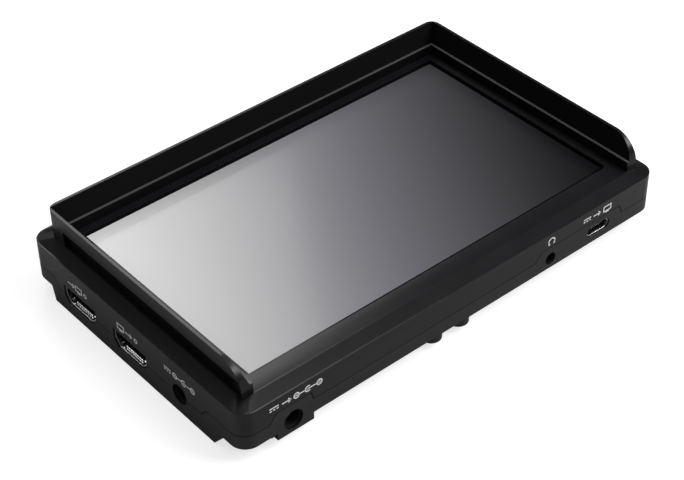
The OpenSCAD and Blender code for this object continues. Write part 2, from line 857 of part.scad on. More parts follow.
module board_components() {
    flex_low = board_top + flex_up - flex_t / 2;
    color("#18181a") translate([board_mid, 0, board_top]) {
        for (chip = [[-21, -20, 14], [13, 14, 10], [33, -14, 9], [-45, -12, 8], [51, 4, 7]])
            translate([chip[0], chip[1], chip_h / 2]) cube([chip[2], chip[2], chip_h], center = true);
        for (i = [0 : 5]) translate([7 * i - 7, -28, chip_h / 2]) cube([4, 2.6, chip_h], center = true);
        for (can = [[-49, 4], [-49, 12], [41, 20], [27, 20]]) translate([can[0], can[1], 0]) rod(1.6, chip_h);
    }
    color("#18181a") block([flex_x, -panel_d / 2 + 1, board_top],
        [flex_x + flex_w, -panel_d / 2 + 5, flex_low]);
}

module video_shield() {
    w = 24;
    h = chip_h + 0.2;
    t = 0.25;
    hole_pitch = 2.6;
    color(steel) translate([board_mid - 15, 6, board_top]) difference() {
        translate([-w / 2, -w / 2, 0]) cube([w, w, h]);
        translate([-w / 2 + t, -w / 2 + t, -1]) cube([w - 2 * t, w - 2 * t, h + 1 - t]);
        for (i = [-3 : 3], j = [-3 : 3])
            translate([i * hole_pitch, j * hole_pitch, h - 1]) cylinder(r = 0.6, h = 2, $fn = 8);
    }
}

module video_socket(y) {
    skin = 0.4;
    color(steel) translate([0, y, port_z]) difference() {
        along_x(-half_w + mouth_in, -half_w + mouth_in + video_depth) video_outline(0);
        along_x(-half_w - 1, -half_w + mouth_in + video_depth - 1) video_outline(-skin);
    }
}

module hdmi_in_socket() {
    video_socket(video_ys[0]);
}

module hdmi_out_socket() {
    video_socket(video_ys[1]);
}

// insulator at the back of a video socket, with the tongue that carries the contacts
module video_core(y) {
    back_x = -half_w + mouth_in + video_depth - 1;
    base_l = 2.2;
    tongue_in = 1.4;
    tongue_half = 5.3;
    color("#101012") translate([0, y, port_z]) {
        along_x(back_x - base_l, back_x) video_outline(-0.45);
        block([-half_w + mouth_in + tongue_in, -tongue_half, -0.2],
            [back_x - base_l + 0.1, tongue_half, 0.9]);
    }
}

module hdmi_in_core() {
    video_core(video_ys[0]);
}

module hdmi_out_core() {
    video_core(video_ys[1]);
}

// power jack lying along +Y with its mouth at the origin
module power_jack() {
    color("#0e0e10") difference() {
        union() {
            block([-power_w / 2, wall + 0.05, -power_h / 2 + 0.1],
                [power_w / 2, power_depth + wall, power_h / 2]);
            translate([0, 0.9, 0]) rotate([-90, 0, 0]) rod(power_r - 0.1, wall);
        }
        translate([0, -1, 0]) rotate([-90, 0, 0]) rod(power_bore_r, power_depth + wall - 0.2);
    }
}

module power_pin() {
    translate([0, 2.4, 0]) rotate([-90, 0, 0]) rod(1, power_depth + wall - 3.6);
}

module dc_in_jack() {
    translate([-half_w, inlet_y, port_z]) rotate([0, 0, -90]) power_jack();
}

module dc_out_jack() {
    translate([outlet_x, -half_d, outlet_z]) power_jack();
}

module dc_pins() {
    color(steel) {
        translate([-half_w, inlet_y, port_z]) rotate([0, 0, -90]) power_pin();
        translate([outlet_x, -half_d, outlet_z]) power_pin();
    }
}

module headphone_jack() {
    color("#0e0e10") translate([phones_x, -in_d, phones_z]) difference() {
        block([-phones_w / 2, 0.05, -phones_h / 2], [phones_w / 2, phones_depth, phones_h / 2]);
        translate([0, -1, 0]) rotate([-90, 0, 0]) rod(phones_r, phones_depth);
    }
}

module usb_c_socket() {
    skin = 0.3;
    color(steel) translate([usb_x, 0, usb_z]) difference() {
        along_y(-half_d + mouth_in, -half_d + mouth_in + usb_depth) usb_outline(0);
        along_y(-half_d - 1, -half_d + mouth_in + usb_depth - 0.8) usb_outline(-skin);
    }
}

module usb_c_tongue() {
    half = 3.35;
    t = 0.7;
    color("#3a3a3e") translate([usb_x, -half_d + mouth_in, usb_z])
        block([-half, 1, -t / 2], [half, usb_depth - 0.8, t / 2]);
}

module key_board() {
    color(board_green) block([key_board_x0, key_board_y, key_board_z0],
        [key_board_x1, switch_face - switch_h, key_board_z0 + key_board_h]);
}

module key_switches() {
    color("#c9c9cc") for (x = concat(key_xs, [power_key_x])) {
        translate([x, switch_face - switch_h / 2, keys_z])
            cube([switch_w, switch_h, switch_d], center = true);
        translate([x, switch_face - tiny, keys_z]) rotate([-90, 0, 0])
            rod(plunger_r, plunger_tip - switch_face + tiny);
    }
}

module long_key(i) {
    color("#1d1d1f") translate([key_xs[i], 0, keys_z]) {
        along_y(key_back + key_flange_t - tiny, half_d - key_out) key_outline(0);
        translate([0, key_back + key_flange_t / 2, 0])
            cube([key_w + 2 * key_flange, key_flange_t, key_h + 2 * key_flange], center = true);
    }
}

module key_menu() {
    long_key(0);
}

module key_down() {
    long_key(1);
}

module key_up() {
    long_key(2);
}

module key_exit() {
    long_key(3);
}

// round key, kept in by a wing on its left and right
module key_power() {
    wing = power_key_r + key_flange;
    wing_h = key_h / 2;
    color("#1d1d1f") translate([power_key_x, key_back, keys_z]) {
        rotate([-90, 0, 0]) rod(power_key_r, half_d - key_out - key_back);
        block([-wing, 0, -wing_h], [wing, key_flange_t, wing_h]);
    }
}

module battery_plate() {
    color("#232325") difference() {
        union() {
            block([plate_x - plate_w / 2, plate_y0, plate_z], [plate_x + plate_w / 2, plate_y1, pocket_h]);
            for (s = [0, 1], y = hook_ys)
                translate([plate_x, y, 0]) mirror([s, 0, 0]) translate([plate_w / 2, 0, 0]) {
                    block([-post_t, 0, hook_z], [0, hook_l, plate_z + tiny]);
                    block([-post_t - hook_in, 0, hook_z], [0, hook_l, hook_z + hook_t]);
                }
        }
        translate([plate_x, lock_y, plate_z - 1])
            linear_extrude(plate_t + 2)
                square([lock_w + 2 * lock_play, lock_l + 2 * lock_play], center = true);
        for (p = plate_screw_at)
            translate([p[0], p[1], plate_z - 1]) {
                rod(small_screw_r + 0.15, plate_t + 2);
                rod(small_head_r + 0.2, 1 + plate_head_h + 0.1);
            }
    }
}

// a blade's box, or with play the slot that it stands in
module blade_box(i, play, front) {
    x = plate_x + i * blade_pitch;
    half = blade_w / 2 + play;
    block([x - half, plate_y0 + 1.3 - play, plate_z - terminal_h + 0.7 - 2 * play],
        [x + half, plate_y0 + terminal_l + front, plate_z - 0.6 + 2 * play]);
}

module battery_terminal() {
    half = terminal_w / 2;
    color("#111113") difference() {
        block([plate_x - half, plate_y0, plate_z - terminal_h],
            [plate_x + half, plate_y0 + terminal_l, plate_z]);
        for (i = [-1 : 1]) blade_box(i, blade_play, 1);
    }
}

module battery_blades() {
    color(brass_tone) for (i = [-1 : 1]) blade_box(i, 0, 3.4);
}

// spring-loaded lock with a ramp that the battery slides over
module battery_lock() {
    ramp_y = 0.4;
    flange_z = pocket_h + 0.05;
    color("#3a3a3e") translate([plate_x, lock_y, 0]) {
        along_x(-lock_w / 2, lock_w / 2)
            polygon([[-lock_l / 2, plate_z - lock_out], [ramp_y, plate_z - lock_out],
                [lock_l / 2, plate_z - 0.2], [lock_l / 2, pocket_h + 0.2], [-lock_l / 2, pocket_h + 0.2]]);
        block([-lock_w / 2 - lock_flange, -lock_l / 2 - lock_flange, flange_z],
            [lock_w / 2 + lock_flange, lock_l / 2 + lock_flange, flange_z + lock_flange_t]);
    }
}

// points of a round wire wound about the upright axis
function coil_points(r, wire, turns, h, per_turn, sides) =
    [for (i = [0 : turns * per_turn], j = [0 : sides - 1])
        let (a = 360 * i / per_turn, b = 360 * j / sides, q = r + wire / 2 * cos(b))
        [q * cos(a), q * sin(a), wire / 2 + (h - wire) * i / (turns * per_turn) + wire / 2 * sin(b)]];

function coil_faces(rings, sides) = concat(
    [[for (j = [0 : sides - 1]) sides - 1 - j]],
    [for (i = [0 : rings - 2], j = [0 : sides - 1])
        [i * sides + j, i * sides + (j + 1) % sides, (i + 1) * sides + (j + 1) % sides, (i + 1) * sides + j]],
    [[for (j = [0 : sides - 1]) (rings - 1) * sides + j]]);

module lock_spring() {
    z0 = pocket_h + 0.05 + lock_flange_t;
    h = well_top - well_wall - z0;
    per_turn = 16;
    sides = 6;
    color(steel) translate([plate_x, lock_y, z0])
        polyhedron(coil_points(spring_r, spring_wire, spring_turns, h, per_turn, sides),
            coil_faces(spring_turns * per_turn + 1, sides));
}

module tripod_insert() {
    color(brass_tone) translate([half_w - tripod_l, 0, tripod_z]) rotate([0, 90, 0]) difference() {
        rod(tripod_out, tripod_l - 0.2);
        translate([0, 0, 0.6]) rod(tripod_r, tripod_l);
    }
}

module accessory_inserts() {
    color(brass_tone) for (s = [-0.5, 0.5])
        translate([boss_x + s * boss_pitch, boss_y(), rim_z - boss_h]) difference() {
            rod(insert_out, insert_l);
            translate([0, 0, -1]) rod(insert_r, insert_l + 2);
        }
}

// screw with its head down at the origin and its shank upward
module screw(head_r, head_h, shank_r, shank_l) {
    difference() {
        union() {
            rod(head_r, head_h);
            translate([0, 0, head_h - tiny]) rod(shank_r, shank_l);
        }
        for (a = [0, 90]) rotate(a) translate([0, 0, 0.2]) cube([1.3 * head_r, 0.35, 0.5], center = true);
    }
}

module case_screws() {
    color("#2a2a2c") for (x = [-1, 1], y = [-1, 1])
        translate([x * screw_x, y * screw_y, rim_z + 0.15])
            screw(screw_head_r, screw_head_h - 0.1, screw_r, case_screw_l);
}

module plate_screws() {
    color("#2a2a2c") for (p = plate_screw_at)
        translate([p[0], p[1], plate_z + 0.05])
            screw(small_head_r, plate_head_h, small_screw_r, plate_screw_l);
}

module board_screws() {
    color(steel) for (p = board_screw_at)
        translate([p[0], p[1], board_top + small_head_h]) mirror([0, 0, 1])
            screw(small_head_r, small_head_h, small_screw_r - thread_play, board_screw_l);
}

module bracket_screws() {
    color(steel) for (x = [-1, 1], y = [-1, 1])
        translate([x * bracket_ear_x, y * bracket_ear_y, bracket_z - small_head_h])
            screw(small_head_r, small_head_h, small_screw_r, bracket_screw_l);
}

rear_shell();
front_shell();
sun_hood();
screen_glass();
panel_gasket();
lcd_cell();
backlight_unit();
panel_bracket();
panel_flex();
main_board();
board_components();
video_shield();
hdmi_in_socket();
hdmi_out_socket();
hdmi_in_core();
hdmi_out_core();
dc_in_jack();
dc_out_jack();
dc_pins();
headphone_jack();
usb_c_socket();
usb_c_tongue();
key_board();
key_switches();
key_menu();
key_down();
key_up();
key_exit();
key_power();
battery_plate();
battery_terminal();
battery_blades();
battery_lock();
lock_spring();
tripod_insert();
accessory_inserts();
case_screws();
plate_screws();
board_screws();
bracket_screws();
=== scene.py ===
import json
import math

import bmesh
import bpy
from mathutils import Matrix, Vector


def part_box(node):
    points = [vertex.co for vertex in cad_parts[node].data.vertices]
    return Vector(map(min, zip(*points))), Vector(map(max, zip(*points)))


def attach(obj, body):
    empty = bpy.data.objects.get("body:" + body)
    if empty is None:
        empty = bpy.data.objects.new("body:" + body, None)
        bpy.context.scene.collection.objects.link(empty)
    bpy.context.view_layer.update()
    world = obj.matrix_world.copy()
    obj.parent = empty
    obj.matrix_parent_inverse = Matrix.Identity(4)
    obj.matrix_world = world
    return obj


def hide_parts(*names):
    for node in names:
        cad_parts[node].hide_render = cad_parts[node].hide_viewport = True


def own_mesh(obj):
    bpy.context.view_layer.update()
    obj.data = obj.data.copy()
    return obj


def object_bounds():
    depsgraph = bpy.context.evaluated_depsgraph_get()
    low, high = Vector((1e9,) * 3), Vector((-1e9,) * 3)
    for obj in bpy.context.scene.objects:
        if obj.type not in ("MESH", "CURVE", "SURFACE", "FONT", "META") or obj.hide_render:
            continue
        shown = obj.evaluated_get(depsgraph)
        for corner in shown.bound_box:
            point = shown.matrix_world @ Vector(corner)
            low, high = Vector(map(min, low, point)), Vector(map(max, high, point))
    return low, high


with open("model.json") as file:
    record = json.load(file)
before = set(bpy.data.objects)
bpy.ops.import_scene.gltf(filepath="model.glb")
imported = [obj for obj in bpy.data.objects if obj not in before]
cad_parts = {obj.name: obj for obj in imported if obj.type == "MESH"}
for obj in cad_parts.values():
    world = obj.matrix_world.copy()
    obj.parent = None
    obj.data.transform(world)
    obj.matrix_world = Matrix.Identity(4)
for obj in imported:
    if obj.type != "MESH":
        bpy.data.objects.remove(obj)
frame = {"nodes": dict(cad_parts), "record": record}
CAD_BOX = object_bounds()
NODES = frame["nodes"]
RECORD = frame["record"]
SLOT_OF = {part["node"]: part["material_slot"] for part in RECORD["subparts"]}
BODY_OF = {node: body for body, members in RECORD["behaviour"]["bodies"].items() for node in members}

MM = 0.001
UP = Vector((0, 0, 1))
BLACK = (0, 0, 0)
WHITE = (1, 1, 1)

# How close in mm two places on the CAD count as the same, and a gap that is only a seam between faces
NEAR = 0.02
SEAM = 0.001

# Bevel width in mm of each node that is shown as a copy with softened edges
SOFT_EDGES = {
    "rear_shell": 0.25, "front_shell": 0.3, "sun_hood": 0.32, "screen_glass": 0.12, "battery_plate": 0.2,
    "battery_lock": 0.2, "battery_terminal": 0.15, "hdmi_in_socket": 0.08, "hdmi_out_socket": 0.08,
    "hdmi_in_core": 0.08, "hdmi_out_core": 0.08, "dc_in_jack": 0.12, "dc_out_jack": 0.12,
    "headphone_jack": 0.12, "usb_c_socket": 0.07, "usb_c_tongue": 0.06, "dc_pins": 0.25, "key_menu": 0.25,
    "key_down": 0.25, "key_up": 0.25, "key_exit": 0.25, "key_power": 0.3, "battery_blades": 0.1,
    "tripod_insert": 0.15, "accessory_inserts": 0.12, "case_screws": 0.12, "plate_screws": 0.1,
}

# Least turn in degrees that counts as an edge. Two nodes keep shallower edges crisp, and the lock's coil
# stays smooth over steeper ones. Faces that turn by less than the flat angle are made one
EDGE_ANGLE = 30
CRISP_ANGLE = {"front_shell": 13, "sun_hood": 13}
COIL_ANGLE = 50
FLAT_ANGLE = 0.6


def middle_of(node):
    low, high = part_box(node)
    return (low + high) / 2


# Shader helpers

def new_material(name):
    """A material, its node tree and its shader."""
    made = bpy.data.materials.new(name)
    made.use_nodes = True
    tree = made.node_tree
    return made, tree, tree.nodes["Principled BSDF"]


def feed(tree, node, inputs):
    """Links each input that is given a socket, and sets each one that is given a value."""
    for name, value in inputs.items():
        if isinstance(value, bpy.types.NodeSocket):
            tree.links.new(value, node.inputs[name])
        else:
            node.inputs[name].default_value = value


def add(tree, kind, inputs=None, **settings):
    """A new shader node with its settings made and its inputs fed."""
    node = tree.nodes.new(kind)
    for name, value in settings.items():
        setattr(node, name, value)
    feed(tree, node, inputs or {})
    return node


def shade(colour, factor):
    return tuple(c * factor for c in colour)


def opaque(colour):
    return (*colour, 1)


def object_place(tree):
    """The shaded point's place on the object, in metres."""
    return add(tree, "ShaderNodeTexCoord").outputs["Object"]


def noise(tree, scale, detail, roughness=0.5, place=None):
    """Cloudy values round 0.5, over the object or another place."""
    if place is None:
        place = object_place(tree)
    inputs = {"Vector": place, "Scale": scale, "Detail": detail, "Roughness": roughness}
    return add(tree, "ShaderNodeTexNoise", inputs).outputs["Fac"]


def maths(tree, operation, *values, clamp=False):
    """The result of an operation on values that are sockets or numbers."""
    made = add(tree, "ShaderNodeMath", dict(enumerate(values)), operation=operation, use_clamp=clamp)
    return made.outputs["Value"]


def spread(tree, source, low, high):
    """The source's values from 0 to 1 as values from low to high."""
    made = add(tree, "ShaderNodeMapRange", {"Value": source, "To Min": low, "To Max": high})
    return made.outputs["Result"]


def ramp(tree, source, stops):
    """The source's values as colours; each stop is a value and its colour."""
    made = add(tree, "ShaderNodeValToRGB", {"Fac": source})
    elements = made.color_ramp.elements
    while len(elements) < len(stops):
        elements.new(0.5)
    for element, (value, colour) in zip(elements, stops):
        element.position = value
        element.color = opaque(colour)
    return made.outputs["Color"]


def mottle(tree, source, colour, darker, lighter, edge=0.3):
    """The colour in uneven shades, from darker to lighter as the source rises."""
    return ramp(tree, source, [(edge, shade(colour, darker)), (1 - edge, shade(colour, lighter))])


def mixed(tree, share, first, second, how="MIX"):
    """Two colours mixed, with the second one's share from 0 to 1."""
    inputs = {"Factor": share, "A": first, "B": second}
    made = add(tree, "ShaderNodeMix", inputs, data_type="RGBA", blend_type=how)
    return made.outputs["Result"]


def bump(tree, source, strength, depth):
    """A surface direction made uneven by the source; the depth is in mm."""
    made = add(tree, "ShaderNodeBump", {"Height": source, "Strength": strength, "Distance": depth * MM})
    return made.outputs["Normal"]


# Materials

def moulded(name, colour, rough, grain, worn=1.5, gloss=0.4):
    """Moulded plastic: slow cloudiness, fine spark-eroded grain and slightly polished edges."""
    made, tree, shader = new_material(name)
    tone = mottle(tree, noise(tree, scale=45, detail=3), colour, darker=0.88, lighter=1.12)
    pointed = add(tree, "ShaderNodeNewGeometry").outputs["Pointiness"]
    rubbed = ramp(tree, pointed, [(0.52, BLACK), (0.6, WHITE)])
    polished = maths(tree, "MULTIPLY", rubbed, noise(tree, scale=160, detail=4))
    smear = noise(tree, scale=90, detail=5, roughness=0.65)
    feed(tree, shader, {
        "Base Color": mixed(tree, polished, tone, opaque(shade(colour, worn))),
        "Roughness": spread(tree, smear, *rough),
        "Normal": bump(tree, noise(tree, scale=3200, detail=2), grain, depth=0.03),
        "Specular IOR Level": gloss,
    })
    return made


def metal(name, colour, rough, scale=400, drawn=14, strength=0.1):
    """Metal with a faint cloudy grain, which drawn makes that many times finer along Z."""
    made, tree, shader = new_material(name)
    stretched = add(tree, "ShaderNodeMapping", {"Vector": object_place(tree), "Scale": (1, 1, drawn)})
    grain = noise(tree, scale, detail=4, place=stretched.outputs["Vector"])
    feed(tree, shader, {
        "Base Color": mottle(tree, grain, colour, darker=0.85, lighter=1.1),
        "Roughness": spread(tree, grain, *rough),
        "Normal": bump(tree, grain, strength, depth=0.02),
        "Metallic": 1,
    })
    return made


def circuit_board(name, colour):
    """Solder mask with buried copper tracks."""
    made, tree, shader = new_material(name)
    tracks = add(tree, "ShaderNodeTexBrick", {
        "Vector": object_place(tree),
        "Color1": opaque(colour),
        "Color2": opaque(shade(colour, 1.5)),
        "Mortar": opaque(shade(colour, 0.6)),
        "Scale": 420,
    })
    feed(tree, shader, {
        "Base Color": tracks.outputs["Color"],
        "Roughness": spread(tree, noise(tree, scale=300, detail=2), low=0.2, high=0.36),
        "Normal": bump(tree, tracks.outputs["Fac"], strength=0.3, depth=0.03),
    })
    return made


def soft_film(name, colour, rough, scale, strength):
    """Foam, film or diffuser: fine pores or fibres over an even colour."""
    made, tree, shader = new_material(name)
    pores = noise(tree, scale, detail=3)
    feed(tree, shader, {
        "Base Color": mottle(tree, pores, colour, darker=0.8, lighter=1.15, edge=0.35),
        "Roughness": spread(tree, pores, *rough),
        "Normal": bump(tree, pores, strength, depth=0.05),
    })
    return made


def print_ink(name):
    """Pad-printed white ink, a little uneven."""
    made, tree, shader = new_material(name)
    tones = [(0.3, (0.8, 0.8, 0.81)), (0.7, (0.95, 0.95, 0.95))]
    feed(tree, shader, {
        "Base Color": ramp(tree, noise(tree, scale=900, detail=3), tones),
        "Roughness": 0.55,
    })
    return made


# Painted reflection on the screen: an even fade of values from 0 to 1, which stands in for a softbox's
# reflection in the glass. These are the value at the middle of the frame and its change in a metre to the
# right and in a metre up the glass
REFLECTION_MIDDLE = 0.49
REFLECTION_RIGHT = -4.6
REFLECTION_UP = 2.35
REFLECTION_GAMMA = 2.2

# The tint of a dark, a middling and a pale value of the painted reflection
REFLECTION_TINTS = [(0.2, (0.93, 0.91, 1)), (0.45, (0.91, 0.89, 1)), (0.72, WHITE)]

# Width in mm of the black border round the glass, painted shade of the dark gap between the glass and the
# bezel
GAP_SHADE_BORDER = 0.5


def clear_of_gap_shade(tree, place):
    """1 where the painted reflection shows, 0 on the black border of painted gap shade."""
    low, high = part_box("screen_glass")
    middle = (low + high) / 2
    half = (high - low) / 2
    inside = []
    for axis in (0, 1):
        off = maths(tree, "ABSOLUTE", maths(tree, "SUBTRACT", place.outputs[axis], middle[axis]))
        inside.append(maths(tree, "LESS_THAN", off, half[axis] - GAP_SHADE_BORDER * MM))
    return maths(tree, "MULTIPLY", *inside)


def screen_painted_reflection(name):
    """Glossy cover glass with a painted reflection that fades from pale grey on the left to near black."""
    made, tree, shader = new_material(name)
    place = add(tree, "ShaderNodeSeparateXYZ", {"Vector": object_place(tree)})
    across = maths(tree, "MULTIPLY_ADD", place.outputs["X"], REFLECTION_RIGHT, REFLECTION_MIDDLE)
    level = maths(tree, "MULTIPLY_ADD", place.outputs["Y"], REFLECTION_UP, across, clamp=True)
    light = maths(tree, "POWER", level, REFLECTION_GAMMA)
    shown = maths(tree, "MULTIPLY", light, clear_of_gap_shade(tree, place))
    tint = ramp(tree, level, REFLECTION_TINTS)
    feed(tree, shader, {
        "Base Color": mixed(tree, 1, shown, tint, how="MULTIPLY"),
        "Roughness": spread(tree, noise(tree, scale=60, detail=4), low=0.1, high=0.16),
        "Specular IOR Level": 0.12,
    })
    return made


# The look of each material slot in the record
LOOKS = {
    "rear_plastic": moulded("rear_plastic_look", (0.011, 0.011, 0.0115),
                            rough=(0.34, 0.46), grain=0.2, gloss=0.34),
    "front_plastic": moulded("front_plastic_look", (0.006, 0.006, 0.0072),
                             rough=(0.24, 0.34), grain=0.1, gloss=0.32),
    "hood_plastic": moulded("hood_plastic_look", (0.007, 0.007, 0.0078),
                            rough=(0.2, 0.3), grain=0.06, gloss=0.3),
    # The glass carries a painted reflection of a softbox
    "screen_glass": screen_painted_reflection("screen_painted_reflection_look"),
    "foam": soft_film("foam_look", (0.012, 0.012, 0.012), rough=(0.8, 0.93), scale=2600, strength=0.5),
    "panel_black": soft_film("cell_look", (0.02, 0.02, 0.026), rough=(0.15, 0.28), scale=900, strength=0.05),
    "panel_white": soft_film("diffuser_look", (0.7, 0.7, 0.67), rough=(0.4, 0.53), scale=700, strength=0.1),
    "steel": metal("steel_look", (0.5, 0.51, 0.53), rough=(0.28, 0.42)),
    "bright_steel": metal("bright_steel_look", (0.72, 0.72, 0.73),
                          rough=(0.16, 0.28), scale=700, drawn=3, strength=0.05),
    "flex_film": soft_film("flex_look", (0.42, 0.2, 0.04), rough=(0.25, 0.38), scale=1500, strength=0.1),
    "circuit_board": circuit_board("board_look", (0.02, 0.12, 0.055)),
    "chip_plastic": moulded("chip_look", (0.018, 0.018, 0.018), rough=(0.5, 0.65), grain=0.3),
    "socket_plastic": moulded("socket_look", (0.009, 0.009, 0.0095), rough=(0.4, 0.55), grain=0.15),
    "key_plastic": moulded("key_look", (0.018, 0.018, 0.019), rough=(0.3, 0.42), grain=0.08, worn=1.8),
    "plate_plastic": moulded("plate_look", (0.019, 0.019, 0.02), rough=(0.42, 0.55), grain=0.3),
    "lock_plastic": moulded("lock_look", (0.035, 0.035, 0.038), rough=(0.36, 0.5), grain=0.15),
    "brass": metal("brass_look", (0.62, 0.45, 0.19), rough=(0.2, 0.34), scale=500, drawn=8),
    "black_screw": metal("black_screw_look", (0.06, 0.06, 0.062),
                         rough=(0.34, 0.5), scale=600, drawn=2, strength=0.15),
}

# Finishes of single faces and pieces, among them painted light on the hood: a painted highlight and painted
# shade
# A lighter grey on the top of the hood's ledge: a painted highlight for the light line that its edge catches
LEDGE_PAINTED_HIGHLIGHT = moulded("ledge_painted_highlight_look", (0.075, 0.075, 0.077), rough=(0.3, 0.4), grain=0.06, worn=1.2)
# A matt near-black for the hood's inner faces and side grooves: painted shade where the hood's walls shade
# them
HOOD_PAINTED_SHADE = moulded("hood_painted_shade_look", (0.003, 0.003, 0.0033),
                      rough=(0.6, 0.75), grain=0.5, worn=1.2, gloss=0.08)
INK = print_ink("print_look")
CONTACT = metal("contact_look", (0.86, 0.8, 0.66), rough=(0.12, 0.2), scale=900, drawn=1, strength=0.02)


# Pieces

def link(thing):
    bpy.context.scene.collection.objects.link(thing)
    return thing


def piece_from(bm, name, look):
    """The drawn mesh as a new object with one look."""
    mesh = bpy.data.meshes.new(name)
    bm.to_mesh(mesh)
    bm.free()
    mesh.materials.append(look)
    return link(bpy.data.objects.new(name, mesh))


def smooth(mesh, angle):
    """Smooth shading, but for edges that turn by more than the angle in degrees."""
    for polygon in mesh.polygons:
        polygon.use_smooth = True
    mesh.set_sharp_from_angle(angle=math.radians(angle))


# The hood's side grooves in mm: their depth, height and the drop of their inner top edge, as in the CAD, then
# how far back from the hood's front ends they fade out, and a weld wide enough to close the faded step
GROOVE_IN = 1.3
GROOVE_TOP = 5.1
GROOVE_DROP = 0.3
GROOVE_FADE = 5.5
GROOVE_WELD = 0.15


def fade_grooves(bm):
    """Runs the hood's side grooves out to nothing at its front ends."""
    low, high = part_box("sun_hood")
    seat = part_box("front_shell")[1].z
    start = low.y + GROOVE_FADE * MM
    groove_x = high.x - GROOVE_IN * MM
    inner_top = seat + (GROOVE_TOP - GROOVE_DROP) * MM
    bmesh.ops.bisect_plane(bm, geom=bm.verts[:] + bm.edges[:] + bm.faces[:], dist=SEAM * MM,
                           plane_co=(0, start, 0), plane_no=(0, 1, 0))
    for vert in bm.verts:
        in_groove = abs(abs(vert.co.x) - groove_x) < NEAR * MM and vert.co.z > seat - NEAR * MM
        if in_groove and vert.co.y < start - NEAR * MM:
            vert.co.x = math.copysign(high.x, vert.co.x)
            if vert.co.z > inner_top - NEAR * MM:
                vert.co.z = seat + GROOVE_TOP * MM
    bmesh.ops.remove_doubles(bm, verts=bm.verts, dist=GROOVE_WELD * MM)


def plain_mesh(node):
    """The node's mesh with its seams merged and its flat faces whole."""
    bm = bmesh.new()
    bm.from_mesh(NODES[node].data)
    bmesh.ops.remove_doubles(bm, verts=bm.verts, dist=SEAM * MM)
    bmesh.ops.dissolve_limit(bm, angle_limit=math.radians(FLAT_ANGLE), verts=bm.verts, edges=bm.edges)
    if node == "sun_hood":
        fade_grooves(bm)
    mesh = bpy.data.meshes.new(node + "_skin")
    bm.to_mesh(mesh)
    bm.free()
    for name in ("custom_normal", "UVMap"):
        if name in mesh.attributes:
            mesh.attributes.remove(mesh.attributes[name])
    return mesh


def stand_in(node, name, angle):
    """A copy of the node that is shown in its place, smooth where it turns by less than the angle."""
    piece = link(bpy.data.objects.new(name, plain_mesh(node)))
    smooth(piece.data, angle)
    piece.data.materials.append(LOOKS[SLOT_OF[node]])
    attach(piece, BODY_OF[node])
    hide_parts(node)
    return piece


def softened(node):
    """The node's stand-in with its edges rounded."""
    angle = CRISP_ANGLE.get(node, EDGE_ANGLE)
    piece = stand_in(node, node + "_skin", angle)
    edge = piece.modifiers.new("soft edges", "BEVEL")
    edge.width = SOFT_EDGES[node] * MM
    edge.segments = 2
    edge.limit_method = "ANGLE"
    edge.angle_limit = math.radians(angle)
    edge.harden_normals = True
    return piece


def dress_nodes():
    """Gives each node its look, and its stand-in where its edges are softened."""
    skins = {}
    for node, cad in NODES.items():
        cad.data.materials.clear()
        cad.data.materials.append(LOOKS[SLOT_OF[node]])
        if node in SOFT_EDGES:
            skins[node] = softened(node)
    return skins


# Faces of the hood in mm: the reach of its rounded corners and of its front ends, and the least distance of
# the ledge below the rim
HOOD_CORNER = 3
HOOD_END = 9
LEDGE_DROP = 4

# How much of a face's normal lies along an axis where it faces that way slightly, mostly or fully
SLIGHTLY = 0.2
MOSTLY = 0.5
FULLY = 0.9


def line_hood(skin):
    """Gives the hood painted shade, a matt near-black, but for its outer faces, rim, front ends, up-facing
    faces and the top of its ledge, which gets a painted highlight.
    """
    own, painted_shade, painted_highlight = range(3)
    skin.data.materials.append(HOOD_PAINTED_SHADE)
    skin.data.materials.append(LEDGE_PAINTED_HIGHLIGHT)
    skin.modifiers["soft edges"].material = own
    low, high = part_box("sun_hood")
    side = high.x - NEAR * MM
    back = high.y - NEAR * MM
    for face in skin.data.polygons:
        place, normal = face.center, face.normal
        outer = abs(place.x) > side or place.y > back
        corner = abs(place.x) > side - HOOD_CORNER * MM and place.y > back - HOOD_CORNER * MM
        outward = normal.x * place.x > 0 or normal.y > SLIGHTLY
        front_end = place.y < low.y + HOOD_END * MM and abs(normal.x) < MOSTLY
        # The ledge's top gets the painted highlight
        if normal.z > FULLY and place.z < high.z - LEDGE_DROP * MM:
            face.material_index = painted_highlight
        # Faces that look out or up keep the hood's colour as if lit, and the rest get painted shade
        elif (outer or corner) and outward or normal.z > MOSTLY or front_end:
            face.material_index = own
        else:
            face.material_index = painted_shade


def coil_lock_spring():
    """A smooth stand-in with a mesh of its own for the lock's spring, which on the real monitor shortens as
    the lock is pressed in.
    """
    piece = stand_in("lock_spring", "lock_spring_coil", COIL_ANGLE)
    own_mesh(piece)


# Printed signs, generic ones in the places of the port labels. Each is a list of lines, and a line is a list
# of points in mm from the sign's middle, before the sign is scaled. The ink's height isn't scaled
SIGN_SCALE = 1.2
KEY_SIGN_SCALE = 0.75
INK_T = 0.02
STROKE = 0.34

# Least cosine that a ribbon's mitre is worked out with, so that a sharp turn keeps a short corner
LEAST_MITRE = 0.5


def ring_points(x, y, r, start=0, turn=360, steps=20):
    angles = [math.radians(start + turn * i / steps) for i in range(steps + 1)]
    return [(x + r * math.cos(a), y + r * math.sin(a)) for a in angles]


def level(x0, x1, y=0):
    """A level line."""
    return [(x0, y), (x1, y)]


def arrow(x, length):
    """An arrow to the right."""
    tip = x + length
    head, half = 0.7, 0.6
    return [level(x, tip), [(tip - head, half), (tip, 0), (tip - head, -half)]]


def direct_current(x):
    """A solid line over a dashed one."""
    dash, pitch, low, high = 0.6, 0.95, -0.3, 0.4
    dashes = [level(x + i * pitch, x + i * pitch + dash, low) for i in range(3)]
    return [level(x, x + 2 * pitch + dash, high)] + dashes


